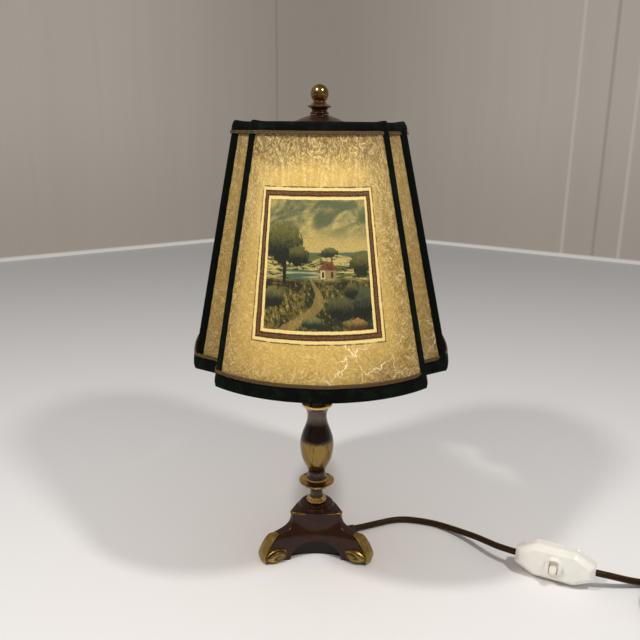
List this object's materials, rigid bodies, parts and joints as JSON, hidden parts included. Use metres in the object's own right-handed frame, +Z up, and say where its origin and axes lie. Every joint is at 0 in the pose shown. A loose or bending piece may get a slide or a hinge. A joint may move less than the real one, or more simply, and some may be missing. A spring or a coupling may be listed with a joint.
{
  "type": "table lamp",
  "caption": "Small brass table lamp with a turned stem on a footed casting, a notched fabric-bound shade on a harp, a screw-in bulb, and a cord with an in-line lever switch and plug.",
  "frame": {"origin": "on the table under the stem's axis, at the middle of the lamp's footprint", "axes": "+Z up along the stem, -Y towards the pictured front, +X to the pictured right"},
  "size_m": [0.475, 0.3443, 0.4003],
  "materials": {
    "brown_lacquered_brass": "glossy brown lacquer over brass",
    "polished_brass": "polished",
    "plated_steel": "zinc plated",
    "moulded_insulator": "dark moulded insulator",
    "opal_glass": "opal white",
    "parchment": "marbled golden parchment with a printed view",
    "dark_velvet": "very dark green velvet",
    "painted_wire": "cream paint",
    "cream_plastic": "glossy cream",
    "tie_plastic": "black tie",
    "brown_cord": "glossy dark brown-gold cord"
  },
  "bodies": {
    "root": {"base_casting": "brown_lacquered_brass", "stem_ring": "polished_brass", "stem_spool": "brown_lacquered_brass", "stem_dish": "polished_brass", "stem_vase": "brown_lacquered_brass", "stem_tube": "plated_steel", "stem_washer": "plated_steel", "stem_nut": "plated_steel", "inner_lead": "brown_cord", "cord_strain_relief": "brown_cord", "cord_clip": "plated_steel", "harp_saddle": "polished_brass", "harp": "polished_brass", "holder_cap": "polished_brass", "holder_shell": "polished_brass", "holder_core": "moulded_insulator", "holder_thread": "polished_brass", "centre_contact": "polished_brass", "switch_housing": "cream_plastic", "switch_lid": "cream_plastic", "switch_lid_screw_left": "plated_steel", "switch_lid_screw_right": "plated_steel", "switch_contact_in": "polished_brass", "switch_contact_out": "polished_brass", "cord_lamp_to_switch": "brown_cord", "cord_coil": "brown_cord", "cord_switch_to_coil": "brown_cord", "coil_tie": "tie_plastic", "plug_body": "cream_plastic", "plug_pin_left": "polished_brass", "plug_pin_right": "polished_brass", "cord_coil_to_plug": "brown_cord"},
    "shade": {"shade_panel_front": "parchment", "shade_corner_front_right": "parchment", "shade_panel_right": "parchment", "shade_corner_back_right": "parchment", "shade_panel_back": "parchment", "shade_corner_back_left": "parchment", "shade_panel_left": "parchment", "shade_corner_front_left": "parchment", "shade_frame": "painted_wire", "shade_hem_bottom": "dark_velvet", "shade_hem_top": "dark_velvet", "shade_ribbon_front_right": "dark_velvet", "shade_ribbon_outer_front_right": "dark_velvet", "shade_ribbon_outer_back_right": "dark_velvet", "shade_ribbon_back_right": "dark_velvet", "shade_ribbon_back_left": "dark_velvet", "shade_ribbon_outer_back_left": "dark_velvet", "shade_ribbon_outer_front_left": "dark_velvet", "shade_ribbon_front_left": "dark_velvet", "shade_spider": "painted_wire"},
    "finial": {"cap_dome": "brown_lacquered_brass", "finial": "polished_brass"},
    "bulb": {"bulb_cap": "plated_steel", "bulb_glass": "opal_glass"},
    "lever": {"switch_lever": "cream_plastic", "switch_lever_pin": "plated_steel", "switch_bridge": "polished_brass"}
  },
  "joints": [
    {"name": "shade_turn", "type": "hinge", "parent": "root", "child": "shade", "pos_m": [0, 0, 0.36465], "axis": [0, 0, 1], "continuous": true},
    {"name": "finial_turn", "type": "hinge", "parent": "root", "child": "finial", "pos_m": [0, 0, 0.384], "axis": [0, 0, 1], "continuous": true},
    {"name": "bulb_turn", "type": "hinge", "parent": "root", "child": "bulb", "pos_m": [0, 0, 0.175], "axis": [0, 0, 1], "continuous": true},
    {"name": "lever_swing", "type": "hinge", "parent": "root", "child": "lever", "pos_m": [0.19975, -0.05186, 0.01628], "axis": [-0.8988, 0.4384, 0], "range_deg": [0, 34]}
  ]
}
